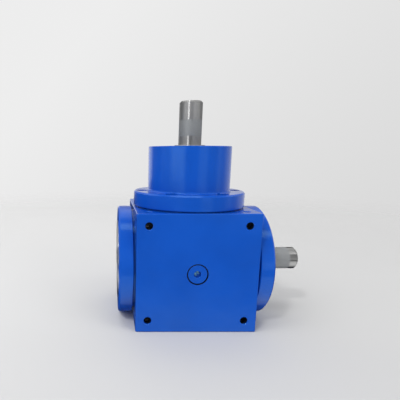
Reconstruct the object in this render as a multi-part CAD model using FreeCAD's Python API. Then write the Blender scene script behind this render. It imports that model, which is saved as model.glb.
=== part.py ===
"""Right angle spiral bevel gearbox, ratio 1:1, in a 110 mm cubic housing.

Millimetres, +Z up. The origin is the middle of the bottom face, and the shaft axes cross at the middle
of the cube. Covers, flange, bearings and gears are drawn in a local frame whose origin is that crossing
and whose +Z points outwards along the shaft, then turned onto +X, -X or +Z.
"""

import FreeCAD, Part
import math
import os

# Driving dimensions
CUBE = 110.0
EDGE_R = 1.0
CAVITY_HALF = 46.0
CAVITY_FILLET = 4.0
CORNER_BLOCK = 24.0
BOSS_R = 6.5
BOSS_DEPTH = 17.5
PLUG_BOSS_R = 13.0
PLUG_BOSS_DEPTH = 13.0
REGISTER_R = 36.0
REGISTER_GAP = 0.03
O_RING_R = 1.2
O_RING_GROOVE = 2.8
O_RING_DEPTH = 5.0
SHAFT_R = 11.0
SEAL_R = 15.0
SEAL_SEAT_R = 23.5
SHOULDER_R = 24.5
SEAL_DEPTH = 7.0
SEAL_WEB = 1.6
SEAL_WALL = 1.8
SEAL_LIP_LOW = 0.8
SPRING_R = 0.7
SPRING_OFFSET = 3.5
SPRING_HEIGHT = 2.2
SHAFT_CHAMFER = 0.5
CAP_SINK = 0.8
CAP_T = 1.4
CAP_BEVEL = 0.4
CAP_WALL = 2.0
CAP_RIM_W = 3.0
CAP_DISH_R = 12.3
OUTPUT_END = 112.0
OUTPUT_STEP = 1.0
INPUT_END = 155.5
INPUT_STEP = 1.2
END_CHAMFER = 1.5

DISC_R = 54.0
DISC_CHAMFER = 1.3
DISC_INNER_CHAMFER = 0.5
PAD_R = 50.0
SIDE_PAD = 1.5
SIDE_SHIM = 0.5
SIDE_DISC = 13.0
PILOT_R = 38.5
PILOT_H = 0.8
TOP_PAD = 0.7
TOP_SHIM = 0.3
SHIM_BORE_GAP = 0.4
SHIM_INSET = 0.2
FLANGE_T = 14.0
NECK_R = 40.0
NECK_TOP = 113.0
NECK_FILLET = 2.0
NECK_TOP_FILLET = 0.8
PILOT_CHAMFER = 0.3
INPUT_SEAL_LOW = 104.5
INPUT_SEAL_SINK = 0.5

FACE_HOLE_PITCH = 44.0
FACE_HOLE_R = 3.4
FACE_HOLE_DEPTH = 12.0
HOLE_CHAMFER = 0.5
DRILL_TIP = math.tan(math.radians(31.0))

SCREW_CIRCLE_R = 46.0
SCREW_COUNT = 6
SCREW_R = 3.0
SCREW_CLEARANCE_R = 3.3
SCREW_HEAD_R = 5.0
SCREW_HEAD_H = 6.0
SCREW_HEAD_CHAMFER = 0.5
SCREW_POINT_CHAMFER = 0.6
SCREW_SOCKET_AF = 5.0
COUNTERBORE_R = 5.5
COUNTERBORE_DEPTH = 6.8
SCREW_BITE = 11.0

PLUG_HEAD_R = 8.7
PLUG_SEAT_R = 9.6
PLUG_HEAD_T = 3.0
PLUG_SINK = 0.2
PLUG_THREAD_R = 7.0
PLUG_RING_T = 1.0
PLUG_LENGTH = 9.0
PLUG_SOCKET_AF = 6.0
PLUG_SOCKET_DEPTH = 3.6
PLUG_CHAMFER = 0.3
PLUG_MOUTH = 0.5

BEARING_W = 17.0
BEARING_OUTER_R = 27.5
BEARING_BORE_R = 15.0
CUP_FACE = 4.0
RACE_APEX = 100.8
CUP_ANGLE = 15.05
CONE_ANGLE = 11.45
ROLLER_COUNT = 18
ROLLER_L = 10.6
ROLLER_MID = 9.5
ROLLER_PLAY = 0.06

TEETH = 22
MODULE = 3.0
FACE_WIDTH = 13.0
SPIRAL_ANGLE = 35.0
PRESSURE_ANGLE = 20.0
BACKLASH = 0.4
CLEARANCE = 0.75
GEAR_BACK = 37.0

OUTPUT_BEARING = 46.0
INPUT_BEARING_LOW = 41.0
INPUT_RIB_LOW = 58.0
INPUT_RIB_HIGH = 77.8
INPUT_BEARING_HIGH = 94.8
RIB_R = 21.8
SMALL_RIB_R = 18.4
LARGE_RIB = 3.4
SMALL_RIB = 14.4
CAGE_LOW = 1.6
CAGE_HIGH = 16.3
CAGE_LIP_R = 19.2
CAGE_T = 0.7
CAGE_INNER = 0.3
CAGE_OUTER = 1.2
WINDOW_GAP = 0.1
WINDOW_LONGER = 0.2

GEAR_FRONT = 24.0
HUB_BACK = 42.0
HUB_R = 24.0
PINION_HUB_R = 19.0
GEAR_BORE_R = 17.0
COLLAR_R = 20.0
COLLAR_HALF = 24.0
NECK_SHAFT_R = 18.0
OUTPUT_SHAFT_BACK = 64.0
KEY_W = 8.0
KEY_LOW = 27.0
KEY_HIGH = 41.0
KEY_FLOOR = 12.8
KEY_TOP = 19.8
KEYWAY_DEPTH = 3.2
KEY_CHAMFER = 0.4
SPACER_R = 18.0
GEAR_SPACER_R = 19.0
NUT_LOW = 96.0
NUT_HIGH = 103.0
NUT_R = 22.5
NUT_SLOTS = 4
WASHER_R = 21.5
WASHER_TEETH = 12
NUT_CHAMFER = 0.6
NUT_SLOT_DEPTH = 2.0
TAB_W = 5.0
TAB_GROOVE_DEPTH = 2.5
TAB_PLAY = 0.2
TOOTH_W = 4.0
TOOTH_L = 2.5
BENT_TOOTH_H = 4.0

CENTRE = FreeCAD.Vector(0, 0, CUBE / 2)
ORIGIN = FreeCAD.Vector(0, 0, 0)
AXIS_X = FreeCAD.Vector(1, 0, 0)
AXIS_Y = FreeCAD.Vector(0, 1, 0)
AXIS_Z = FreeCAD.Vector(0, 0, 1)
HALF = CUBE / 2
SIDE_FACE = HALF + SIDE_PAD + SIDE_SHIM
SIDE_OUTER = SIDE_FACE + SIDE_DISC
PILOT_FACE = SIDE_OUTER + PILOT_H
TOP_FACE = HALF + TOP_PAD + TOP_SHIM
FLANGE_TOP = TOP_FACE + FLANGE_T
SEAL_STEP = PILOT_FACE - SEAL_DEPTH
SEAL_LIP_R = SEAL_R + 0.05
SIDE_START = 30.0
TOP_START = 0.0

# Turns that carry local +Z onto each outward direction
UP = FreeCAD.Rotation()
RIGHT = FreeCAD.Rotation(AXIS_Y, 90)
LEFT = FreeCAD.Rotation(AXIS_Y, -90)
FRONT = FreeCAD.Rotation(AXIS_X, 90)
REAR = FreeCAD.Rotation(AXIS_X, -90)
DOWN = FreeCAD.Rotation(AXIS_X, 180)

nodes = {}


def at(shape, turn):
    """Carry a shape from the local frame onto one side of the housing."""
    placed = shape.copy()
    placed.Placement = FreeCAD.Placement(CENTRE, turn).multiply(placed.Placement)
    return placed


def turned(outline):
    """Solid of revolution about Z from (radius, height) corners."""
    points = [FreeCAD.Vector(r, 0, h) for r, h in outline]
    wire = Part.makePolygon(points + points[:1])
    return Part.Face(wire).revolve(ORIGIN, AXIS_Z, 360)


def rod(radius, low, high):
    return Part.makeCylinder(radius, high - low, FreeCAD.Vector(0, 0, low))


def ring(inner, outer, low, high):
    return rod(outer, low, high).cut(rod(inner, low - 1, high + 1))


def fused(shapes):
    return shapes[0].multiFuse(shapes[1:]).removeSplitter()


def around(shape, count, start=0.0):
    """Copies of a shape, evenly spaced about Z."""
    copies = []
    for i in range(count):
        copy = shape.copy()
        copy.rotate(ORIGIN, AXIS_Z, start + i * 360.0 / count)
        copies.append(copy)
    return copies


def hexagon(across_flats, low, high):
    corner = across_flats / math.sqrt(3)
    points = []
    for i in range(7):
        angle = math.radians(60 * i + 30)
        points.append(FreeCAD.Vector(corner * math.cos(angle), corner * math.sin(angle), low))
    face = Part.Face(Part.makePolygon(points))
    return face.extrude(FreeCAD.Vector(0, 0, high - low))


def circle_edges(shape, radius, height):
    """The full-circle edges of a turned shape at one radius and height."""
    found = []
    for edge in shape.Edges:
        if not isinstance(edge.Curve, Part.Circle):
            continue
        if abs(edge.Curve.Radius - radius) < 0.01 and abs(edge.Curve.Center.z - height) < 0.01:
            found.append(edge)
    return found


def drilled(radius, depth, mouth):
    """Cutter for a blind tapped hole entering at height `mouth`, with a drill tip and a chamfered mouth."""
    lead = 1.0
    outline = [
        (0, mouth + lead),
        (radius + HOLE_CHAMFER + lead, mouth + lead),
        (radius, mouth - HOLE_CHAMFER),
        (radius, mouth - depth),
        (0, mouth - depth - radius * DRILL_TIP),
    ]
    return turned(outline)


# Housing

def housing():
    body = Part.makeBox(CUBE, CUBE, CUBE, FreeCAD.Vector(-HALF, -HALF, 0))
    body = body.makeFillet(EDGE_R, body.Edges)
    pads = [
        at(rod(PAD_R, HALF - 2, HALF + SIDE_PAD), LEFT),
        at(rod(PAD_R, HALF - 2, HALF + SIDE_PAD), RIGHT),
        at(rod(PAD_R, HALF - 2, HALF + TOP_PAD), UP),
    ]
    body = body.multiFuse(pads)
    cutters = [cavity()]
    for turn in (LEFT, RIGHT, UP):
        cutters.append(at(rod(REGISTER_R, COLLAR_R, HALF + 3), turn))
    for turn in (LEFT, RIGHT, UP, DOWN, FRONT, REAR):
        cutters += [at(hole, turn) for hole in face_holes()]
    side_taps = tapped_circle(HALF + SIDE_PAD, SIDE_START)
    cutters += [at(hole, LEFT) for hole in side_taps]
    cutters += [at(hole, RIGHT) for hole in side_taps]
    cutters += [at(hole, UP) for hole in tapped_circle(HALF + TOP_PAD, TOP_START)]
    seat = rod(PLUG_SEAT_R, HALF - PLUG_SINK - PLUG_HEAD_T - PLUG_RING_T, HALF + 1)
    for turn in (FRONT, REAR, DOWN):
        cutters.append(at(seat, turn))
        cutters.append(at(rod(PLUG_THREAD_R, HALF - PLUG_BOSS_DEPTH - 1, HALF + 1), turn))
    return body.cut(cutters).removeSplitter()


def cavity():
    """Space inside the casting: a cube with solid corners and with bosses left round the screws and plugs."""
    side = 2 * CAVITY_HALF
    space = Part.makeBox(side, side, side, FreeCAD.Vector(-CAVITY_HALF, -CAVITY_HALF, HALF - CAVITY_HALF))
    space = space.makeFillet(CAVITY_FILLET, space.Edges)
    kept = []
    for x in (-HALF, HALF - CORNER_BLOCK):
        for y in (-HALF, HALF - CORNER_BLOCK):
            for z in (0, CUBE - CORNER_BLOCK):
                kept.append(Part.makeBox(CORNER_BLOCK, CORNER_BLOCK, CORNER_BLOCK, FreeCAD.Vector(x, y, z)))
    boss = rod(BOSS_R, HALF - BOSS_DEPTH, HALF)
    boss.translate(FreeCAD.Vector(SCREW_CIRCLE_R, 0, 0))
    for start, turn in ((SIDE_START, LEFT), (SIDE_START, RIGHT), (TOP_START, UP)):
        kept += [at(copy, turn) for copy in around(boss, SCREW_COUNT, start)]
    for turn in (FRONT, REAR, DOWN):
        kept.append(at(rod(PLUG_BOSS_R, HALF - PLUG_BOSS_DEPTH, HALF), turn))
    return space.cut(kept)


def face_holes():
    """Cutters for the four tapped holes near the corners of one face."""
    hole = drilled(FACE_HOLE_R, FACE_HOLE_DEPTH, HALF)
    holes = []
    for x in (-FACE_HOLE_PITCH, FACE_HOLE_PITCH):
        for y in (-FACE_HOLE_PITCH, FACE_HOLE_PITCH):
            copy = hole.copy()
            copy.translate(FreeCAD.Vector(x, y, 0))
            holes.append(copy)
    return holes


def tapped_circle(mouth, start):
    hole = drilled(SCREW_R, SCREW_BITE + 3, mouth)
    hole.translate(FreeCAD.Vector(SCREW_CIRCLE_R, 0, 0))
    return around(hole, SCREW_COUNT, start)


# Fasteners

def socket_screw(seat, tip):
    """Socket head screw with the underside of its head at height `seat` and its point at `tip`."""
    head = rod(SCREW_HEAD_R, seat, seat + SCREW_HEAD_H)
    head = head.makeChamfer(SCREW_HEAD_CHAMFER, circle_edges(head, SCREW_HEAD_R, seat + SCREW_HEAD_H))
    shank = rod(SCREW_R, tip, seat)
    shank = shank.makeChamfer(SCREW_POINT_CHAMFER, circle_edges(shank, SCREW_R, tip))
    socket = hexagon(SCREW_SOCKET_AF, seat + SCREW_HEAD_H / 2, seat + SCREW_HEAD_H + 1)
    return fused([head, shank]).cut(socket)


def screw_set(outer, face, start, turn):
    seat = outer - COUNTERBORE_DEPTH
    screw = socket_screw(seat, face - SCREW_BITE)
    screw.translate(FreeCAD.Vector(SCREW_CIRCLE_R, 0, 0))
    return at(Part.makeCompound(around(screw, SCREW_COUNT, start)), turn)


def screw_cutters(outer, start):
    """Clearance holes and counterbores through a disc whose outer face is at height `outer`."""
    through = rod(SCREW_CLEARANCE_R, OUTPUT_BEARING, outer)
    hole = fused([through, rod(COUNTERBORE_R, outer - COUNTERBORE_DEPTH, outer + 5)])
    hole.translate(FreeCAD.Vector(SCREW_CIRCLE_R, 0, 0))
    return around(hole, SCREW_COUNT, start)


def screw_plug():
    top = HALF - PLUG_SINK
    under = top - PLUG_HEAD_T
    head = rod(PLUG_HEAD_R, under, top)
    head = head.makeChamfer(PLUG_CHAMFER, circle_edges(head, PLUG_HEAD_R, top))
    stem = rod(PLUG_THREAD_R, top - PLUG_LENGTH, under)
    corner = PLUG_SOCKET_AF / math.sqrt(3)
    floor = FreeCAD.Vector(0, 0, top - PLUG_MOUTH)
    mouth = Part.makeCone(corner - PLUG_MOUTH, corner + PLUG_MOUTH, 2 * PLUG_MOUTH, floor)
    socket = hexagon(PLUG_SOCKET_AF, top - PLUG_SOCKET_DEPTH, top + 1)
    return fused([head, stem]).cut([socket, mouth])


def plug_ring():
    under = HALF - PLUG_SINK - PLUG_HEAD_T
    return ring(PLUG_THREAD_R, PLUG_HEAD_R, under - PLUG_RING_T, under)


# Covers, flange, shims and seals

def o_ring_seat(face):
    """Groove cutter and O-ring for the register below a face."""
    height = face - O_RING_DEPTH
    half = O_RING_GROOVE / 2
    groove = ring(REGISTER_R - 2 * O_RING_R, REGISTER_R + 1, height - half, height + half)
    o_ring = Part.makeTorus(REGISTER_R - O_RING_R, O_RING_R, FreeCAD.Vector(0, 0, height))
    return groove, o_ring


def side_cover():
    """Cover disc with register, bearing seat, shoulder and seal seat, and a pilot on its outer face."""
    outline = [
        (BEARING_OUTER_R, OUTPUT_BEARING),
        (REGISTER_R - REGISTER_GAP, OUTPUT_BEARING),
        (REGISTER_R - REGISTER_GAP, SIDE_FACE),
        (DISC_R, SIDE_FACE),
        (DISC_R, SIDE_OUTER),
        (PILOT_R, SIDE_OUTER),
        (PILOT_R, PILOT_FACE),
        (SEAL_SEAT_R, PILOT_FACE),
        (SEAL_SEAT_R, SEAL_STEP),
        (SHOULDER_R, SEAL_STEP),
        (SHOULDER_R, OUTPUT_BEARING + BEARING_W),
        (BEARING_OUTER_R, OUTPUT_BEARING + BEARING_W),
    ]
    disc = turned(outline)
    disc = disc.makeChamfer(DISC_CHAMFER, circle_edges(disc, DISC_R, SIDE_OUTER))
    disc = disc.makeChamfer(DISC_INNER_CHAMFER, circle_edges(disc, DISC_R, SIDE_FACE))
    disc = disc.makeChamfer(PILOT_CHAMFER, circle_edges(disc, PILOT_R, PILOT_FACE))
    groove, _ = o_ring_seat(SIDE_FACE)
    return disc.cut(screw_cutters(SIDE_OUTER, SIDE_START) + [groove]).removeSplitter()


def lip_seal(outer, low, high):
    """Oil seal: case against the bore, closed face outside, lip inside running on the shaft."""
    web = high - SEAL_WEB
    lip_low = low + SEAL_LIP_LOW
    outline = [
        (outer, low),
        (outer, high),
        (SEAL_LIP_R + 1.0, high),
        (SEAL_LIP_R + 1.4, web),
        (SEAL_LIP_R, web - 1.6),
        (SEAL_LIP_R, web - 2.0),
        (SEAL_LIP_R + 1.2, lip_low),
        (SEAL_LIP_R + 2.6, lip_low),
        (SEAL_LIP_R + 2.8, web),
        (outer - SEAL_WALL, web),
        (outer - SEAL_WALL, low),
    ]
    return turned(outline)


def garter_spring(low):
    middle = FreeCAD.Vector(0, 0, low + SPRING_HEIGHT)
    return Part.makeTorus(SEAL_LIP_R + SPRING_OFFSET, SPRING_R, middle)


def end_cap():
    """Rubber-covered cap that closes the left cover: rim, flat web and a shallow dish in the middle."""
    high = PILOT_FACE - CAP_SINK
    web = high - CAP_BEVEL
    dish = web - CAP_T
    rim = SEAL_SEAT_R - CAP_RIM_W
    outline = [
        (0, dish - CAP_T),
        (CAP_DISH_R, dish - CAP_T),
        (CAP_DISH_R + CAP_T, dish),
        (SEAL_SEAT_R - CAP_WALL, dish),
        (SEAL_SEAT_R - CAP_WALL, SEAL_STEP),
        (SEAL_SEAT_R, SEAL_STEP),
        (SEAL_SEAT_R, web),
        (SEAL_SEAT_R - CAP_BEVEL, high),
        (rim + CAP_BEVEL, high),
        (rim, web),
        (CAP_DISH_R + CAP_T + CAP_BEVEL, web),
        (CAP_DISH_R + CAP_BEVEL, dish),
        (0, dish),
    ]
    return turned(outline)


def input_flange():
    """Bolted disc with the bearing neck standing on it and a register below."""
    register_low = INPUT_BEARING_LOW - 1
    outline = [
        (BEARING_OUTER_R, register_low),
        (REGISTER_R - REGISTER_GAP, register_low),
        (REGISTER_R - REGISTER_GAP, TOP_FACE),
        (DISC_R, TOP_FACE),
        (DISC_R, FLANGE_TOP),
        (NECK_R, FLANGE_TOP),
        (NECK_R, NECK_TOP),
        (BEARING_OUTER_R, NECK_TOP),
        (BEARING_OUTER_R, INPUT_RIB_HIGH),
        (SEAL_SEAT_R, INPUT_RIB_HIGH),
        (SEAL_SEAT_R, INPUT_RIB_LOW),
        (BEARING_OUTER_R, INPUT_RIB_LOW),
    ]
    body = turned(outline)
    body = body.makeFillet(NECK_FILLET, circle_edges(body, NECK_R, FLANGE_TOP))
    body = body.makeChamfer(DISC_CHAMFER, circle_edges(body, DISC_R, FLANGE_TOP))
    body = body.makeChamfer(DISC_INNER_CHAMFER, circle_edges(body, DISC_R, TOP_FACE))
    body = body.makeFillet(NECK_TOP_FILLET, circle_edges(body, NECK_R, NECK_TOP))
    groove, _ = o_ring_seat(TOP_FACE)
    return body.cut(screw_cutters(FLANGE_TOP, TOP_START) + [groove]).removeSplitter()


def shim(low, high, start):
    plate = ring(REGISTER_R + SHIM_BORE_GAP, PAD_R - SHIM_INSET, low, high)
    hole = rod(SCREW_CLEARANCE_R, low - 1, high + 1)
    hole.translate(FreeCAD.Vector(SCREW_CIRCLE_R, 0, 0))
    return plate.cut(around(hole, SCREW_COUNT, start))


# Taper roller bearings, drawn from the cone's back face at height 0

def race_r(height, angle):
    return (RACE_APEX - height) * math.tan(math.radians(angle))


def bearing_cup():
    outline = [
        (race_r(CUP_FACE, CUP_ANGLE), CUP_FACE),
        (BEARING_OUTER_R, CUP_FACE),
        (BEARING_OUTER_R, BEARING_W),
        (race_r(BEARING_W, CUP_ANGLE), BEARING_W),
    ]
    return turned(outline)


def bearing_cone():
    outline = [
        (BEARING_BORE_R, 0),
        (RIB_R, 0),
        (RIB_R, LARGE_RIB),
        (race_r(LARGE_RIB, CONE_ANGLE), LARGE_RIB),
        (race_r(SMALL_RIB, CONE_ANGLE), SMALL_RIB),
        (SMALL_RIB_R, SMALL_RIB),
        (SMALL_RIB_R, BEARING_W),
        (BEARING_BORE_R, BEARING_W),
    ]
    return turned(outline)


def roller(play, longer=0.0):
    """One taper roller on its tilted axis, drawn in by `play` and lengthened by `longer` at both ends."""
    tilt = (CUP_ANGLE + CONE_ANGLE) / 2
    half_angle = math.radians((CUP_ANGLE - CONE_ANGLE) / 2)
    to_apex = (RACE_APEX - ROLLER_MID) / math.cos(math.radians(tilt))
    half = ROLLER_L / 2 + longer
    wide = (to_apex + half) * math.tan(half_angle) - play
    narrow = (to_apex - half) * math.tan(half_angle) - play
    solid = Part.makeCone(wide, narrow, 2 * half, FreeCAD.Vector(0, 0, -half))
    solid.rotate(ORIGIN, AXIS_Y, -tilt)
    solid.translate(FreeCAD.Vector(race_r(ROLLER_MID, tilt), 0, ROLLER_MID))
    return solid


def bearing_rollers():
    return Part.makeCompound(around(roller(ROLLER_PLAY), ROLLER_COUNT))


def bearing_cage():
    """Pressed cage: a tapered shell with a window for each roller and an inward lip at its small end."""
    tilt = (CUP_ANGLE + CONE_ANGLE) / 2
    lip = CAGE_HIGH - CAGE_T
    outline = [
        (race_r(CAGE_LOW, tilt) + CAGE_INNER, CAGE_LOW),
        (race_r(CAGE_LOW, tilt) + CAGE_OUTER, CAGE_LOW),
        (race_r(CAGE_HIGH, tilt) + CAGE_OUTER, CAGE_HIGH),
        (CAGE_LIP_R, CAGE_HIGH),
        (CAGE_LIP_R, lip),
        (race_r(lip, tilt) + CAGE_INNER, lip),
    ]
    window = roller(-WINDOW_GAP, WINDOW_LONGER)
    return turned(outline).cut(around(window, ROLLER_COUNT))


def place_bearing(name, height, turn, flipped=False):
    """Four nodes of one bearing with its cone's back at a height; flipped points its small side inwards."""
    pieces = {
        "cup": bearing_cup(),
        "cone": bearing_cone(),
        "rollers": bearing_rollers(),
        "cage": bearing_cage(),
    }
    for piece, shape in pieces.items():
        if flipped:
            shape.rotate(ORIGIN, AXIS_X, 180)
        shape.translate(FreeCAD.Vector(0, 0, height))
        nodes[name + "_" + piece] = at(shape, turn)


# Spiral bevel gears, drawn with their apex at the crossing of the axes and the teeth facing it

CONE_ROOT2 = math.sqrt(0.5)
PITCH_R = TEETH * MODULE / 2
OUTER_CONE = PITCH_R / CONE_ROOT2
INNER_CONE = OUTER_CONE - FACE_WIDTH
MEAN_CONE = OUTER_CONE - FACE_WIDTH / 2
VIRTUAL_R = OUTER_CONE
BACK_APEX = OUTER_CONE / CONE_ROOT2
ADDENDUM = MODULE
DEDENDUM = MODULE + CLEARANCE


def cone_point(rho, scale=1.0):
    """(radius, height) of the back cone at a distance from its own apex, scaled towards the gear's apex."""
    return rho * CONE_ROOT2 * scale, (BACK_APEX - rho * CONE_ROOT2) * scale


def gear_blank(hub_r, hub_back, front):
    """Turned blank: tip cone, back cone down to a flat back, and a hub behind it."""
    toe = INNER_CONE / OUTER_CONE
    heel_tip = cone_point(VIRTUAL_R + ADDENDUM)
    toe_tip = cone_point(VIRTUAL_R + ADDENDUM, toe)
    toe_foot = cone_point(VIRTUAL_R - DEDENDUM - 2, toe)
    back_rho = (BACK_APEX - GEAR_BACK) / CONE_ROOT2
    outline = [
        (0, front),
        (toe_foot[0] - 1, front),
        toe_foot,
        toe_tip,
        heel_tip,
        cone_point(back_rho),
        (hub_r, GEAR_BACK),
        (hub_r, hub_back),
        (0, hub_back),
    ]
    return turned(outline)


def flank_angle(rho):
    """Half angle of a tooth of the virtual spur gear at a radius, by the involute."""
    pressure = math.radians(PRESSURE_ANGLE)
    base = VIRTUAL_R * math.cos(pressure)
    half_at_pitch = math.pi * MODULE / 4 - BACKLASH / 4
    involute = math.tan(pressure) - pressure
    here = 0.0
    if rho > base:
        slope = math.acos(base / rho)
        here = math.tan(slope) - slope
    return half_at_pitch / VIRTUAL_R + involute - here


def space_section(cone, twist):
    """Closed outline of one tooth space at a cone distance, turned by a twist about the gear's axis."""
    virtual_pitch = 2 * math.pi * MODULE / 2 / VIRTUAL_R
    low = VIRTUAL_R - DEDENDUM
    high = VIRTUAL_R + ADDENDUM + 0.8
    steps = 6
    flank = []
    for i in range(steps + 1):
        rho = low + (high - low) * i / steps
        flank.append((rho, virtual_pitch / 2 - flank_angle(rho)))
    sides = []
    for sign in (-1, 1):
        points = []
        for rho, psi in flank:
            radius, height = cone_point(rho)
            theta = sign * psi / CONE_ROOT2
            direction = FreeCAD.Vector(radius * math.cos(theta), radius * math.sin(theta), height)
            along = (direction.x + direction.z) * CONE_ROOT2
            point = direction.multiply(cone / along)
            spin = FreeCAD.Rotation(AXIS_Z, math.degrees(twist))
            points.append(spin.multVec(point))
        sides.append(points)
    left, right = sides
    curves = []
    for points in (left, right[::-1]):
        spline = Part.BSplineCurve()
        spline.interpolate(points)
        curves.append(spline.toShape())
    top = Part.makeLine(left[-1], right[-1])
    bottom = Part.makeLine(right[0], left[0])
    return Part.Wire([curves[0], top, curves[1], bottom])


def spiral_gear(hub_r, hub_back, front, hand, on_space):
    """Bevel gear with curved teeth of `hand` +1 or -1; `on_space` puts a tooth space at azimuth 0."""
    spread = 1.5
    sections = []
    count = 5
    for i in range(count):
        cone = INNER_CONE - spread + (FACE_WIDTH + 2 * spread) * i / (count - 1)
        slant = math.tan(math.radians(SPIRAL_ANGLE)) / CONE_ROOT2
        twist = hand * slant * math.log(cone / MEAN_CONE)
        sections.append(space_section(cone, twist))
    cutter = Part.makeLoft(sections, True, False)
    start = 0.0 if on_space else 180.0 / TEETH
    return gear_blank(hub_r, hub_back, front).cut(around(cutter, TEETH, start))


# Shafts and what sits on them

def shaft_end(radius, low, high):
    part = rod(radius, low, high)
    return part.makeChamfer(END_CHAMFER, circle_edges(part, radius, high))


def output_shaft():
    """Drawn along local +Z towards the free end."""
    steps = [
        rod(BEARING_BORE_R, -OUTPUT_SHAFT_BACK, -HUB_BACK),
        rod(GEAR_BORE_R, -HUB_BACK, -COLLAR_HALF),
        rod(COLLAR_R, -COLLAR_HALF, COLLAR_HALF),
        rod(NECK_SHAFT_R, COLLAR_HALF, OUTPUT_BEARING),
        rod(SEAL_R, OUTPUT_BEARING, PILOT_FACE + OUTPUT_STEP),
        shaft_end(SHAFT_R, PILOT_FACE + OUTPUT_STEP, OUTPUT_END),
    ]
    corner = FreeCAD.Vector(KEY_FLOOR, -KEY_W / 2, -KEY_HIGH)
    slot = Part.makeBox(GEAR_BORE_R, KEY_W, KEY_HIGH - KEY_LOW, corner)
    shaft = fused(steps)
    shaft = shaft.makeChamfer(SHAFT_CHAMFER, circle_edges(shaft, SEAL_R, PILOT_FACE + OUTPUT_STEP))
    return shaft.cut(slot)


def shaft_key():
    corner = FreeCAD.Vector(KEY_FLOOR, -KEY_W / 2, -KEY_HIGH)
    block = Part.makeBox(KEY_TOP - KEY_FLOOR, KEY_W, KEY_HIGH - KEY_LOW, corner)
    end_edges = [edge for edge in block.Edges if abs(edge.BoundBox.ZLength) < 0.01]
    return block.makeChamfer(KEY_CHAMFER, end_edges)


def output_gear():
    gear = spiral_gear(HUB_R, HUB_BACK, GEAR_FRONT, -1, True)
    corner = FreeCAD.Vector(0, -KEY_W / 2, 0)
    keyway = Part.makeBox(GEAR_BORE_R + KEYWAY_DEPTH, KEY_W, HUB_BACK + 1, corner)
    # The key lies on the far side of the shaft's local X, because gear and shaft point opposite ways.
    return gear.cut([rod(GEAR_BORE_R, 0, HUB_BACK + 1), keyway.mirror(ORIGIN, AXIS_X)])


def input_shaft():
    """Shaft with the pinion cut on it, drawn along local +Z."""
    step = NECK_TOP + INPUT_STEP
    steps = [
        spiral_gear(PINION_HUB_R, INPUT_BEARING_LOW, GEAR_FRONT, 1, False),
        rod(SEAL_R, INPUT_BEARING_LOW, step),
        shaft_end(SHAFT_R, step, INPUT_END),
    ]
    corner = FreeCAD.Vector(SEAL_R - TAB_GROOVE_DEPTH, -TAB_W / 2, INPUT_BEARING_HIGH - 1)
    slot = Part.makeBox(SEAL_R, TAB_W, NUT_HIGH + 1 - INPUT_BEARING_HIGH, corner)
    shaft = steps[0].multiFuse(steps[1:])
    shaft = shaft.makeChamfer(SHAFT_CHAMFER, circle_edges(shaft, SEAL_R, step))
    return shaft.cut(slot)


def locknut():
    body = ring(SEAL_R, NUT_R, NUT_LOW, NUT_HIGH)
    body = body.makeChamfer(NUT_CHAMFER, circle_edges(body, NUT_R, NUT_HIGH))
    corner = FreeCAD.Vector(NUT_R - NUT_SLOT_DEPTH, -TAB_W / 2, NUT_LOW - 1)
    slot = Part.makeBox(NUT_R, TAB_W, NUT_HIGH + 2 - NUT_LOW, corner)
    return body.cut(around(slot, NUT_SLOTS))


def lock_washer():
    """Toothed washer with an inner tab in the shaft's groove and one tooth bent up into a slot of the nut."""
    body = ring(SEAL_R, WASHER_R, INPUT_BEARING_HIGH, NUT_LOW)
    thick = NUT_LOW - INPUT_BEARING_HIGH
    tooth_corner = FreeCAD.Vector(WASHER_R - 1, -TOOTH_W / 2, INPUT_BEARING_HIGH)
    tooth = Part.makeBox(TOOTH_L + 1, TOOTH_W, thick, tooth_corner)
    tab_corner = FreeCAD.Vector(
        SEAL_R - TAB_GROOVE_DEPTH + TAB_PLAY, TAB_PLAY - TAB_W / 2, INPUT_BEARING_HIGH
    )
    tab = Part.makeBox(TAB_GROOVE_DEPTH + 1, TAB_W - 2 * TAB_PLAY, thick, tab_corner)
    bent_corner = FreeCAD.Vector(NUT_R - NUT_SLOT_DEPTH / 2, -TOOTH_W / 2, NUT_LOW - thick)
    bent = Part.makeBox(thick, TOOTH_W, BENT_TOOTH_H, bent_corner)
    return fused([body, tab, bent] + around(tooth, WASHER_TEETH))


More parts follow.
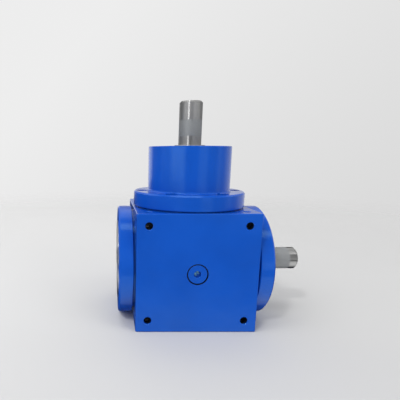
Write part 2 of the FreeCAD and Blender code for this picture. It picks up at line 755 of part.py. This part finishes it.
def build():
    nodes["housing"] = housing()
    for name, turn in (("output_cover", RIGHT), ("closed_cover", LEFT)):
        nodes[name] = at(side_cover(), turn)
        nodes[name + "_shim"] = at(shim(HALF + SIDE_PAD, SIDE_FACE, SIDE_START), turn)
        nodes[name + "_o_ring"] = at(o_ring_seat(SIDE_FACE)[1], turn)
        nodes[name + "_screws"] = screw_set(SIDE_OUTER, HALF + SIDE_PAD, SIDE_START, turn)
    nodes["input_flange"] = at(input_flange(), UP)
    nodes["input_flange_shim"] = at(shim(HALF + TOP_PAD, TOP_FACE, TOP_START), UP)
    nodes["input_flange_o_ring"] = at(o_ring_seat(TOP_FACE)[1], UP)
    nodes["input_flange_screws"] = screw_set(FLANGE_TOP, HALF + TOP_PAD, TOP_START, UP)
    for name, turn in (("level_plug", FRONT), ("filler_plug", REAR), ("drain_plug", DOWN)):
        nodes[name] = at(screw_plug(), turn)
        nodes[name + "_ring"] = at(plug_ring(), turn)
    nodes["output_seal"] = at(lip_seal(SEAL_SEAT_R, SEAL_STEP, PILOT_FACE), RIGHT)
    nodes["output_seal_spring"] = at(garter_spring(SEAL_STEP), RIGHT)
    nodes["end_cap"] = at(end_cap(), LEFT)
    nodes["input_seal"] = at(lip_seal(BEARING_OUTER_R, INPUT_SEAL_LOW, NECK_TOP - INPUT_SEAL_SINK), UP)
    nodes["input_seal_spring"] = at(garter_spring(INPUT_SEAL_LOW), UP)
    place_bearing("output_bearing", OUTPUT_BEARING, RIGHT)
    place_bearing("closed_bearing", OUTPUT_BEARING, LEFT)
    place_bearing("input_bearing_lower", INPUT_BEARING_LOW, UP)
    place_bearing("input_bearing_upper", INPUT_BEARING_HIGH, UP, flipped=True)
    nodes["input_shaft"] = at(input_shaft(), UP)
    nodes["input_spacer"] = at(ring(SEAL_R, SPACER_R, INPUT_RIB_LOW, INPUT_RIB_HIGH), UP)
    nodes["lock_washer"] = at(lock_washer(), UP)
    nodes["locknut"] = at(locknut(), UP)
    nodes["output_shaft"] = at(output_shaft(), RIGHT)
    nodes["output_gear"] = at(output_gear(), LEFT)
    nodes["output_gear_key"] = at(shaft_key(), RIGHT)
    nodes["output_gear_spacer"] = at(ring(SEAL_R, GEAR_SPACER_R, HUB_BACK, OUTPUT_BEARING), LEFT)


build()
os.makedirs("parts", exist_ok=True)
for name, shape in nodes.items():
    shape.exportStep("parts/" + name + ".step")
    print(name, round(shape.Volume, 1), shape.isValid())
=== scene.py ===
import math

import bpy
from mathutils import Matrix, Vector


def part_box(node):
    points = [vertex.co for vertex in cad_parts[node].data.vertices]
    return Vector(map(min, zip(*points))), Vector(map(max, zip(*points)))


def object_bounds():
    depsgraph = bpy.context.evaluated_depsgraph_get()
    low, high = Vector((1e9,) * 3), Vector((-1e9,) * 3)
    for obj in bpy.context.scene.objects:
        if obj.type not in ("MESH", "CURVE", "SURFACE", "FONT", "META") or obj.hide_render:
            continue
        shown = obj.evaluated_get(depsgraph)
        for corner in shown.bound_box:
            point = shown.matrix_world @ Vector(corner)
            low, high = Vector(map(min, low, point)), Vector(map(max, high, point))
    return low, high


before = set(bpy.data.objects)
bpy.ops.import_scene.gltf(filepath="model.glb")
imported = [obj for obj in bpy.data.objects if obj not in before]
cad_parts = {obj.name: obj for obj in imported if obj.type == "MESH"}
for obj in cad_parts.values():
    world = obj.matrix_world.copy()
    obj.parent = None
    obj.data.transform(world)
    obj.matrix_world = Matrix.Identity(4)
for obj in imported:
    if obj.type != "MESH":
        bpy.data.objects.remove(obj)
cad_low, cad_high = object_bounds()

MM = 0.001

# Places on the gearbox. The level plug sits at the height where the shafts' axes cross.

plug_low, plug_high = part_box("level_plug")
SHAFTS_CROSS_Z = (plug_low.z + plug_high.z) / 2
PILOT_HEIGHT = 0.8 * MM
PILOT_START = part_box("output_cover")[1].x - PILOT_HEIGHT

# Corner holes: their distance either side of a face's middle, their edge, and how far from the
# housing's centre the paint that ran into them fades out into painted shade.
HOLE_OFFSET = 44.0 * MM
HOLE_EDGE = 3.46 * MM
PAINT_IN_HOLES = (53.9 * MM, 53.3 * MM)

# Screw plugs, by distance from the plug's axis. The seat's gap and the plug's rim are coloured near black as
# painted shade.
PLUG_SEAT_SHADE = (5.0 * MM, 9.65 * MM)
PLUG_RIM_SHADE = (8.55 * MM, 8.65 * MM)
SOCKET_REACH = 2.2 * MM

# Dull bands on the shafts, by place along the shaft.
INPUT_DULL_BAND = (177.7 * MM, 193.0 * MM)
OUTPUT_DULL_BAND = (71.9 * MM, 103.6 * MM)
BAND_FADE = 0.3 * MM

NO_INNER_LIMIT = -1.0


# Camera

CAMERA_PLACE = (-78.45 * MM, -367.6 * MM, 161.0 * MM)
CAMERA_DIP = 10.405
LENS = 33.0
SENSOR = 36.0
SHIFT = (0.2257, 0.0527)


def make_camera():
    """Camera left of the object and a little above the housing, square on to its front face."""
    data = bpy.data.cameras.new("camera")
    data.lens = LENS
    data.sensor_width = SENSOR
    data.shift_x, data.shift_y = SHIFT
    camera = bpy.data.objects.new("camera", data)
    camera.location = CAMERA_PLACE
    camera.rotation_euler = (math.radians(90 - CAMERA_DIP), 0, 0)
    bpy.context.scene.collection.objects.link(camera)
    bpy.context.scene.camera = camera


# Node building

def add(tree, kind, inputs=None, **properties):
    """New node; `inputs` maps socket names or numbers to values or to other sockets."""
    node = tree.nodes.new(kind)
    for key, value in properties.items():
        setattr(node, key, value)
    for key, value in (inputs or {}).items():
        if isinstance(value, bpy.types.NodeSocket):
            tree.links.new(value, node.inputs[key])
        else:
            node.inputs[key].default_value = value
    return node


def math_node(tree, operation, a, b=0.0, clamp=False):
    return add(tree, "ShaderNodeMath", {0: a, 1: b}, operation=operation, use_clamp=clamp).outputs[0]


def remap(tree, value, low, high, to_low=0.0, to_high=1.0, smooth=False):
    inputs = {"Value": value, "From Min": low, "From Max": high, "To Min": to_low, "To Max": to_high}
    style = "SMOOTHSTEP" if smooth else "LINEAR"
    return add(tree, "ShaderNodeMapRange", inputs, interpolation_type=style).outputs["Result"]


def noise(tree, vector, scale, detail=2.0, rough=0.5):
    inputs = {"Vector": vector, "Scale": scale, "Detail": detail, "Roughness": rough}
    return add(tree, "ShaderNodeTexNoise", inputs).outputs["Fac"]


def spread(tree, value, to_low=0.0, to_high=1.0):
    """Stretch the middle of a noise, where most of it lies, to the range asked for."""
    return remap(tree, value, 0.3, 0.7, to_low, to_high)


def mix_colour(tree, factor, a, b):
    node = add(tree, "ShaderNodeMix", {0: factor, 6: a, 7: b}, data_type="RGBA")
    return node.outputs[2]


def bump(tree, height, distance, strength=1.0, normal=None):
    inputs = {"Height": height, "Distance": distance, "Strength": strength}
    if normal is not None:
        inputs["Normal"] = normal
    return add(tree, "ShaderNodeBump", inputs).outputs["Normal"]


def principled(tree, inputs):
    return add(tree, "ShaderNodeBsdfPrincipled", inputs).outputs[0]


def mixed(tree, mask, first, second):
    return add(tree, "ShaderNodeMixShader", {0: mask, 1: first, 2: second}).outputs[0]


def grey_colour(tree, level):
    return add(tree, "ShaderNodeCombineColor", {0: level, 1: level, 2: level}).outputs[0]


def colour(r, g, b):
    return (r, g, b, 1.0)


def darker(tone, factor):
    return colour(*[part * factor for part in tone[:3]])


def split(tree, vector):
    return add(tree, "ShaderNodeSeparateXYZ", {0: vector}).outputs


def length(tree, parts):
    squares = [math_node(tree, "MULTIPLY", part, part) for part in parts]
    return math_node(tree, "SQRT", math_node(tree, "ADD", *squares))


def from_cross(tree, coords):
    """Place measured from the point where the two shafts' axes cross."""
    x, y, z = split(tree, coords)
    return x, y, math_node(tree, "SUBTRACT", z, SHAFTS_CROSS_Z)


def across(tree, coords, axis):
    """The two parts of a place that are square to `axis`, from the crossing of the shafts."""
    x, y, z = from_cross(tree, coords)
    return {"X": (y, z), "Y": (x, z), "Z": (x, y)}[axis]


def axis_distance(tree, coords, axis):
    """Distance from the line along `axis` through the crossing of the shafts."""
    return length(tree, across(tree, coords, axis))


def corner_distance(tree, coords, axis):
    """Distance from the nearest of the four corner holes that run along `axis`."""
    parts = []
    for part in across(tree, coords, axis):
        parts.append(math_node(tree, "SUBTRACT", math_node(tree, "ABSOLUTE", part), HOLE_OFFSET))
    return length(tree, parts)


def along(tree, coords, axis):
    return split(tree, coords)["XYZ".index(axis)]


def inside(tree, value, low, high, soft):
    """1 between low and high, falling to 0 over `soft` on either side."""
    rise = remap(tree, value, low - soft, low)
    fall = remap(tree, value, high, high + soft)
    return math_node(tree, "SUBTRACT", rise, fall, clamp=True)


def highest(tree, values):
    top = values[0]
    for value in values[1:]:
        top = math_node(tree, "MAXIMUM", top, value)
    return top


def new_material(name):
    material = bpy.data.materials.new(name)
    material.use_nodes = True
    tree = material.node_tree
    tree.nodes.clear()
    output = add(tree, "ShaderNodeOutputMaterial")
    coords = add(tree, "ShaderNodeTexCoord").outputs["Object"]
    return material, tree, output, coords


def finished(material, tree, output, shader):
    tree.links.new(shader, output.inputs[0])
    return material


# Colours

PAINT = colour(0.0035, 0.078, 0.495)
PAINT_DEEP = colour(0.003, 0.068, 0.44)
SHEEN_TINT = colour(0.45, 0.9, 1.0)
# Near-black colours: painted shade inside the tapped holes and in the gaps round the plugs.
RECESS_SHADE_BLACK = colour(0.002, 0.004, 0.012)
RECESS_SHADE_MOTTLE = colour(0.010, 0.016, 0.035)
# Bare steel where the key rubbed, tinted teal: real wear with a painted glint.
RUBBED_METAL_GLINT = colour(0.20, 0.46, 0.60)
STEEL = colour(0.50, 0.50, 0.495)
RING_STEEL = colour(0.40, 0.40, 0.395)
MATTE_STEEL = colour(0.405, 0.422, 0.433)
PALE_MATTE = colour(0.325, 0.335, 0.34)
DIM_STEEL = colour(0.36, 0.36, 0.355)
PILOT_STEEL = colour(0.72, 0.715, 0.70)
STEEL_EDGE = colour(0.44, 0.44, 0.44)
DIM_EDGE = colour(0.12, 0.12, 0.12)
BEARING_STEEL = colour(0.62, 0.62, 0.63)
GEAR_STEEL = colour(0.28, 0.28, 0.29)
CAGE_STEEL = colour(0.45, 0.43, 0.40)
SPRING_STEEL = colour(0.30, 0.30, 0.31)
# Shim edges in the gaps under the covers: covered by the enamel, and darkened far below it as painted shade.
SHIM_SHADE_PAINT = colour(0.004, 0.016, 0.07)
COPPER = colour(0.62, 0.30, 0.17)
BLACK = colour(0.012, 0.012, 0.013)
WORN_BLACK = colour(0.03, 0.03, 0.031)


# Materials. The scale of a noise is in cycles per metre.

def paint_shader(tree, coords):
    """Glossy enamel: slow drift in tone, shallow waves where it flowed and fine orange peel."""
    drift = noise(tree, coords, scale=22.0, detail=3.0)
    waves = noise(tree, coords, scale=90.0, detail=1.0)
    peel = noise(tree, coords, scale=480.0, detail=2.0, rough=0.6)
    wear = noise(tree, coords, scale=60.0, detail=4.0)
    normal = bump(tree, waves, distance=0.15 * MM, strength=0.6)
    normal = bump(tree, peel, distance=0.03 * MM, normal=normal)
    return principled(tree, {
        "Base Color": mix_colour(tree, remap(tree, drift, 0.35, 0.65), PAINT_DEEP, PAINT),
        "Roughness": spread(tree, wear, 0.10, 0.20),
        "Normal": normal,
        "IOR": 1.45,
        "Specular IOR Level": 0.5,
        "Specular Tint": SHEEN_TINT,
    })


def turned_shader(tree, coords, axis, base, smooth, rough, edge=STEEL_EDGE):
    """Lathe-turned steel: fine rings about an axis, with uneven brightness from ring to ring."""
    rings = {0: axis_distance(tree, coords, axis), 1: along(tree, coords, axis)}
    lines = add(tree, "ShaderNodeCombineXYZ", rings).outputs[0]
    fine = noise(tree, lines, scale=4200.0, detail=2.0)
    broad = noise(tree, lines, scale=700.0, detail=3.0)
    smudge = noise(tree, coords, scale=45.0, detail=4.0)
    fine_rough = math_node(tree, "MULTIPLY", fine, 0.08)
    return principled(tree, {
        "Base Color": mix_colour(tree, spread(tree, broad, 0.0, 0.35), base, RING_STEEL),
        "Metallic": 1.0,
        "Roughness": math_node(tree, "ADD", spread(tree, smudge, smooth, rough), fine_rough),
        "Normal": bump(tree, fine, distance=0.012 * MM, strength=0.5),
        "Anisotropic": 1.0,
        "Anisotropic Rotation": 0.25,
        "Specular Tint": edge,
        "Tangent": add(tree, "ShaderNodeTangent", direction_type="RADIAL", axis=axis).outputs[0],
    })


def painted_recess_shade(tree, coords):
    """Painted shade: a near-black colour, mottled by noise, for the inside of recesses and gaps."""
    shade_mottle = noise(tree, coords, scale=600.0, detail=3.0)
    return principled(tree, {"Base Color": mix_colour(tree, shade_mottle, RECESS_SHADE_BLACK, RECESS_SHADE_MOTTLE), "Roughness": 0.45})


def painted():
    material, tree, output, coords = new_material("blue_enamel")
    return finished(material, tree, output, paint_shader(tree, coords))


def painted_housing():
    """Painted casting: deep in its tapped holes and in the gaps round the plugs, near black as painted shade.
    """
    material, tree, output, coords = new_material("blue_enamel_housing")
    parts = from_cross(tree, coords)
    reach = highest(tree, [math_node(tree, "ABSOLUTE", part) for part in parts])
    drips = spread(tree, noise(tree, coords, scale=300.0, detail=2.0), -0.5 * MM, 0.5 * MM)
    deep = remap(tree, math_node(tree, "ADD", reach, drips), *PAINT_IN_HOLES)
    shade_masks = []
    for axis in "XYZ":
        away = corner_distance(tree, coords, axis)
        hole = inside(tree, away, NO_INNER_LIMIT, HOLE_EDGE, soft=0.1 * MM)
        shade_masks.append(math_node(tree, "MULTIPLY", hole, deep))
    for axis in "YZ":
        away = axis_distance(tree, coords, axis)
        shade_masks.append(inside(tree, away, *PLUG_SEAT_SHADE, soft=0.05 * MM))
    # Where these masks reach, the enamel gives way to a near-black colour: painted shade.
    dark = highest(tree, shade_masks)
    shader = mixed(tree, dark, paint_shader(tree, coords), painted_recess_shade(tree, coords))
    return finished(material, tree, output, shader)


def painted_plug(name, axis):
    """Painted plug: a near-black rim as painted shade at its seat, and a socket rubbed bare by the key,
    tinted teal as a painted glint.
    """
    material, tree, output, coords = new_material(name)
    radius = axis_distance(tree, coords, axis)
    edge = remap(tree, radius, *PLUG_RIM_SHADE)
    socket = inside(tree, radius, NO_INNER_LIMIT, SOCKET_REACH, soft=0.5 * MM)
    scratches = noise(tree, coords, scale=700.0, detail=3.0)
    patches = remap(tree, scratches, 0.42, 0.55, to_low=0.1, to_high=0.9)
    rubbed = math_node(tree, "MULTIPLY", socket, patches)
    # The key's bare patch: wear, with its teal tint a painted glint.
    bare = principled(tree, {"Base Color": RUBBED_METAL_GLINT, "Metallic": 1.0, "Roughness": 0.25})
    shader = mixed(tree, rubbed, paint_shader(tree, coords), bare)
    # The plug's rim turns near black: painted shade where it sinks into its seat.
    shader = mixed(tree, edge, shader, painted_recess_shade(tree, coords))
    return finished(material, tree, output, shader)


def painted_cover():
    """Painted disc whose pilot is left bare, with a slightly ragged edge where the masking stopped."""
    material, tree, output, coords = new_material("blue_enamel_bare_pilot")
    wander = 0.12 * MM
    reach = math_node(tree, "ABSOLUTE", along(tree, coords, "X"))
    ragged = spread(tree, noise(tree, coords, scale=260.0, detail=3.0), -wander, wander)
    edge = math_node(tree, "ADD", reach, ragged)
    bare = remap(tree, edge, PILOT_START + wander, PILOT_START + wander + 0.1 * MM)
    pilot = turned_shader(tree, coords, "X", PILOT_STEEL, 0.34, 0.42)
    shader = mixed(tree, bare, paint_shader(tree, coords), pilot)
    return finished(material, tree, output, shader)


def shaft_steel(name, axis, dull_band, dull_tone, dull_metal, bright_tone, polish, edge):
    """Ground shaft with a dull band, masked or left unpolished, between two places along its axis."""
    material, tree, output, coords = new_material(name)
    start, end = dull_band
    ragged = spread(tree, noise(tree, coords, scale=140.0, detail=3.0), -0.15 * MM, 0.15 * MM)
    place = math_node(tree, "ADD", along(tree, coords, axis), ragged)
    rise = remap(tree, place, start - BAND_FADE, start + BAND_FADE)
    fall = remap(tree, place, end - BAND_FADE, end + BAND_FADE)
    dull = math_node(tree, "SUBTRACT", rise, fall, clamp=True)
    grain = noise(tree, coords, scale=1500.0, detail=3.0, rough=0.7)
    matte = principled(tree, {
        "Base Color": mix_colour(tree, spread(tree, grain), dull_tone, darker(dull_tone, 0.86)),
        "Metallic": dull_metal,
        "Roughness": 0.55,
        "Normal": bump(tree, grain, distance=0.02 * MM, strength=0.5),
        "Specular Tint": edge,
    })
    bright = turned_shader(tree, coords, axis, bright_tone, polish, polish + 0.05, edge)
    return finished(material, tree, output, mixed(tree, dull, bright, matte))


def plain_turned(name, axis, base, smooth, rough):
    material, tree, output, coords = new_material(name)
    return finished(material, tree, output, turned_shader(tree, coords, axis, base, smooth, rough))


def pressed_metal(name, base, smooth=0.3, rough=0.5):
    """Sheet or forged metal with blotches of duller tone and a fine grain."""
    material, tree, output, coords = new_material(name)
    grain = noise(tree, coords, scale=900.0, detail=3.0)
    blotch = noise(tree, coords, scale=70.0, detail=4.0)
    shader = principled(tree, {
        "Base Color": mix_colour(tree, spread(tree, blotch), base, darker(base, 0.75)),
        "Metallic": 1.0,
        "Roughness": spread(tree, blotch, smooth, rough),
        "Normal": bump(tree, grain, distance=0.01 * MM, strength=0.5),
    })
    return finished(material, tree, output, shader)


def rubber():
    material, tree, output, coords = new_material("black_rubber")
    grain = noise(tree, coords, scale=2200.0, detail=2.0)
    blotch = noise(tree, coords, scale=120.0, detail=3.0)
    shader = principled(tree, {
        "Base Color": mix_colour(tree, spread(tree, blotch), BLACK, WORN_BLACK),
        "Roughness": spread(tree, blotch, 0.42, 0.6),
        "Normal": bump(tree, grain, distance=0.01 * MM, strength=0.5),
        "Specular IOR Level": 0.35,
    })
    return finished(material, tree, output, shader)


def give(material, *nodes):
    for name in nodes:
        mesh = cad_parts[name].data
        mesh.materials.clear()
        mesh.materials.append(material)


# Light, floor and backdrop

# The world is a tent round the object, seen only in light and reflections. A direction in it is a
# vector of length 1, so its z runs from -1 straight down to 1 straight up.

# Brightness of the walls by azimuth in degrees: 0 faces the front of the object, 90 its right.
WALLS = [
    (-180, 0.85), (-158, 1.30), (-140, 1.30), (-130, 0.25), (-98, 0.30), (-90, 0.70),
    (-66, 0.80), (-56, 1.90), (-27, 1.80), (-18, 0.34), (10, 0.34), (18, 0.95),
    (34, 0.95), (42, 0.34), (64, 0.38), (76, 0.80), (88, 0.45), (98, 0.50),
    (110, 0.75), (126, 0.75), (150, 0.85), (180, 0.85),
]

# Brightness of the ground: 0 is straight down, 1 the horizon.
GROUND = [(0.0, 1.0), (0.12, 1.35), (0.30, 1.35), (0.45, 1.15), (0.595, 1.10), (0.63, 0.32), (1.0, 0.26)]
REAR_GROUND = colour(0.04, 0.05, 0.08)
REAR_GROUND_FADE = (-0.1, 0.25)

# The horizon sinks a little toward the right.
HORIZON_FADE = (-0.14, -0.10)
HORIZON_TILT = 0.07

# Where the walls turn to an even haze, and the haze to the ceiling.
WALL_HAZE = colour(0.5, 0.5, 0.5)
WALL_TOP_FADE = (0.06, 0.16)
CEILING_FADE = (0.45, 0.70)

# The ceiling's bright strip, in degrees of pitch from the front horizon over the top, lies further
# forward on the right, and the x at which one gives way to the other.
STRIP_LEFT = (78, 90)
STRIP_RIGHT = (62, 72)
STRIP_CHANGE = (0.22, 0.28)
STRIP_LEVEL = 2.60
CEILING_LEVEL = 0.40

# The backdrop that the camera sees: behind the object it darkens to the right and toward the floor.
BACKDROP_SLOPE = (0.28, 0.25)
BACKDROP_SLOPE_RANGE = (-0.085, 0.285)
BACKDROP_LEVELS = (0.85, 0.66)
SIDE_LEVEL = 0.92
BACKDROP_SIDE_FADE = (0.3, 0.7)

AIM = Vector((0.0, 0.0, 0.08))

FLOOR_RADIUS = 1.4
FLOOR_FADE = (0.30, 1.3)
FLOOR_DROP = 0.2 * MM
FLOOR_TONE = (0.663, 0.667)


def ramp(tree, value, stops):
    node = add(tree, "ShaderNodeValToRGB", {0: value})
    points = node.color_ramp.elements
    while len(points) < len(stops):
        points.new(0.5)
    for point, (place, level) in zip(points, stops):
        point.position = place
        point.color = (level, level, level, 1)
    return node.outputs[0]


def ceiling(tree, pitch, strip):
    """Dim ceiling with one bright strip between two pitches, and bright again behind the object."""
    low, high = strip
    stops = [
        (54, 0.35),
        (low - 3, CEILING_LEVEL),
        (low, STRIP_LEVEL),
        (high, STRIP_LEVEL),
        (high + 4, CEILING_LEVEL),
        (104, CEILING_LEVEL),
        (112, 1.30),
        (180, 1.35),
    ]
    share = remap(tree, pitch, 0.0, math.pi)
    return ramp(tree, share, [(degrees / 180, level) for degrees, level in stops])


def tent_light(tree, x, y, z):
    """What lights the object: walls, a ceiling with a bright strip, and a ground that is dark at the rear."""
    toward_front = math_node(tree, "MULTIPLY", y, -1.0)
    azimuth = math_node(tree, "ARCTAN2", x, toward_front)
    pitch = math_node(tree, "ARCTAN2", z, toward_front)
    turn = remap(tree, azimuth, -math.pi, math.pi)
    walls = ramp(tree, turn, [(degrees / 360 + 0.5, level) for degrees, level in WALLS])
    walls = mix_colour(tree, remap(tree, z, *WALL_TOP_FADE, smooth=True), walls, WALL_HAZE)
    left = ceiling(tree, pitch, STRIP_LEFT)
    right = ceiling(tree, pitch, STRIP_RIGHT)
    overhead = mix_colour(tree, remap(tree, x, *STRIP_CHANGE), left, right)
    upper = mix_colour(tree, remap(tree, z, *CEILING_FADE, smooth=True), walls, overhead)
    ground = ramp(tree, remap(tree, z, -1, 0), GROUND)
    ground = mix_colour(tree, remap(tree, y, *REAR_GROUND_FADE), ground, REAR_GROUND)
    tilted = math_node(tree, "ADD", z, math_node(tree, "MULTIPLY", x, HORIZON_TILT))
    horizon = remap(tree, tilted, *HORIZON_FADE, smooth=True)
    return mix_colour(tree, horizon, ground, upper)


def backdrop_grey(tree, x, y, z):
    """Pale backdrop: lighter to the left and toward the top behind the object, even elsewhere."""
    to_right = math_node(tree, "MULTIPLY", x, BACKDROP_SLOPE[0])
    to_top = math_node(tree, "MULTIPLY", z, BACKDROP_SLOPE[1])
    slope = math_node(tree, "SUBTRACT", to_right, to_top)
    behind = remap(tree, slope, *BACKDROP_SLOPE_RANGE, *BACKDROP_LEVELS)
    is_behind = remap(tree, y, *BACKDROP_SIDE_FADE, smooth=True)
    level = add(tree, "ShaderNodeMix", {0: is_behind, 2: SIDE_LEVEL, 3: behind}).outputs[0]
    return grey_colour(tree, level)


def make_world():
    """Plain backdrop for the eye, with a tent of uneven brightness that lights the object."""
    world = bpy.data.worlds.new("tent")
    bpy.context.scene.world = world
    world.use_nodes = True
    tree = world.node_tree
    tree.nodes.clear()
    output = add(tree, "ShaderNodeOutputWorld")
    x, y, z = split(tree, add(tree, "ShaderNodeTexCoord").outputs["Generated"])
    lit = add(tree, "ShaderNodeBackground", {0: tent_light(tree, x, y, z), 1: 1.0}).outputs[0]
    seen = add(tree, "ShaderNodeBackground", {0: backdrop_grey(tree, x, y, z), 1: 1.0}).outputs[0]
    is_camera = add(tree, "ShaderNodeLightPath").outputs["Is Camera Ray"]
    tree.links.new(mixed(tree, is_camera, lit, seen), output.inputs[0])


def make_lamp(name, place, size, power, in_reflections):
    """Square soft lamp aimed at the middle of the object."""
    data = bpy.data.lights.new(name, "AREA")
    data.shape = "RECTANGLE"
    data.size = data.size_y = size
    data.energy = power
    lamp = bpy.data.objects.new(name, data)
    lamp.location = place
    lamp.rotation_euler = (AIM - Vector(place)).to_track_quat("-Z", "Y").to_euler()
    lamp.visible_glossy = in_reflections
    bpy.context.scene.collection.objects.link(lamp)


def make_floor():
    """Round pale floor that fades into the background far from the object, with painted shade and light in
    its colour.
    """
    material, tree, output, coords = new_material("floor")
    x, y, z = split(tree, coords)
    fade = remap(tree, length(tree, (x, y)), *FLOOR_FADE, smooth=True)
    tone = spread(tree, noise(tree, coords, scale=8.0, detail=2.0), *FLOOR_TONE)
    # Painted shade and light: the floor's colour darkens to the right and in front and brightens behind.
    shade_to_the_right = remap(tree, x, -0.25, 0.3, to_low=1.02, to_high=0.92)
    shade_in_front = remap(tree, y, -0.15, 0.10, to_low=0.87, to_high=1.0)
    behind = remap(tree, y, 0.10, 0.50, to_low=1.0, to_high=1.09)
    for slope in (shade_to_the_right, shade_in_front, behind):
        tone = math_node(tree, "MULTIPLY", tone, slope)
    surface = principled(tree, {"Base Color": grey_colour(tree, tone), "Roughness": 0.8})
    clear = add(tree, "ShaderNodeBsdfTransparent").outputs[0]
    finished(material, tree, output, mixed(tree, fade, surface, clear))
    centre = (0, 0, cad_low.z - FLOOR_DROP)
    bpy.ops.mesh.primitive_circle_add(vertices=96, radius=FLOOR_RADIUS, fill_type="NGON", location=centre)
    floor = bpy.context.object
    floor.name = "floor"
    floor.data.materials.append(material)
    floor.visible_glossy = False


make_camera()
make_world()
make_floor()
make_lamp("key", (-0.9, -0.8, 1.0), size=1.0, power=7.5, in_reflections=False)
make_lamp("spot", (-0.53, -0.75, 1.05), size=0.12, power=3.6, in_reflections=True)
make_lamp("fill", (0.9, -1.0, 0.5), size=0.9, power=4.5, in_reflections=False)


# Materials to the nodes

blue = painted()
give(blue, "input_flange", "input_flange_screws", "output_cover_screws", "closed_cover_screws")
give(painted_housing(), "housing")
give(painted_cover(), "output_cover", "closed_cover")
give(painted_plug("blue_enamel_plug", "Y"), "level_plug", "filler_plug")
give(painted_plug("blue_enamel_drain_plug", "Z"), "drain_plug")

input_steel = shaft_steel(
    "input_shaft_steel", "Z", INPUT_DULL_BAND, MATTE_STEEL,
    dull_metal=0.85, bright_tone=STEEL, polish=0.33, edge=STEEL_EDGE)
output_steel = shaft_steel(
    "output_shaft_steel", "X", OUTPUT_DULL_BAND, PALE_MATTE,
    dull_metal=0.3, bright_tone=DIM_STEEL, polish=0.24, edge=DIM_EDGE)
give(input_steel, "input_shaft")
give(output_steel, "output_shaft")

gear_steel = pressed_metal("gear_steel", GEAR_STEEL)
give(gear_steel, "output_gear", "output_gear_key", "output_gear_spacer")
give(gear_steel, "input_spacer", "locknut", "lock_washer")

cage_steel = pressed_metal("cage_steel", CAGE_STEEL)
ground = plain_turned("ground_bearing_steel", "X", BEARING_STEEL, 0.28, 0.34)
ground_up = plain_turned("ground_bearing_steel_up", "Z", BEARING_STEEL, 0.28, 0.34)
BEARINGS = {
    "output_bearing": ground,
    "closed_bearing": ground,
    "input_bearing_lower": ground_up,
    "input_bearing_upper": ground_up,
}
for bearing, steel in BEARINGS.items():
    give(steel, bearing + "_cup", bearing + "_cone", bearing + "_rollers")
    give(cage_steel, bearing + "_cage")

black = rubber()
give(black, "output_seal", "input_seal", "end_cap")
give(black, "output_cover_o_ring", "closed_cover_o_ring", "input_flange_o_ring")

give(pressed_metal("spring_steel", SPRING_STEEL), "output_seal_spring", "input_seal_spring")
# The shims' near-black navy is painted shade for the gaps between covers and housing.
shim_painted_shade = pressed_metal("shim_painted_shade", SHIM_SHADE_PAINT)
give(shim_painted_shade, "output_cover_shim", "closed_cover_shim", "input_flange_shim")

copper = pressed_metal("copper", COPPER, smooth=0.25, rough=0.4)
give(copper, "level_plug_ring", "filler_plug_ring", "drain_plug_ring")

bpy.context.scene.view_settings.view_transform = "Standard"
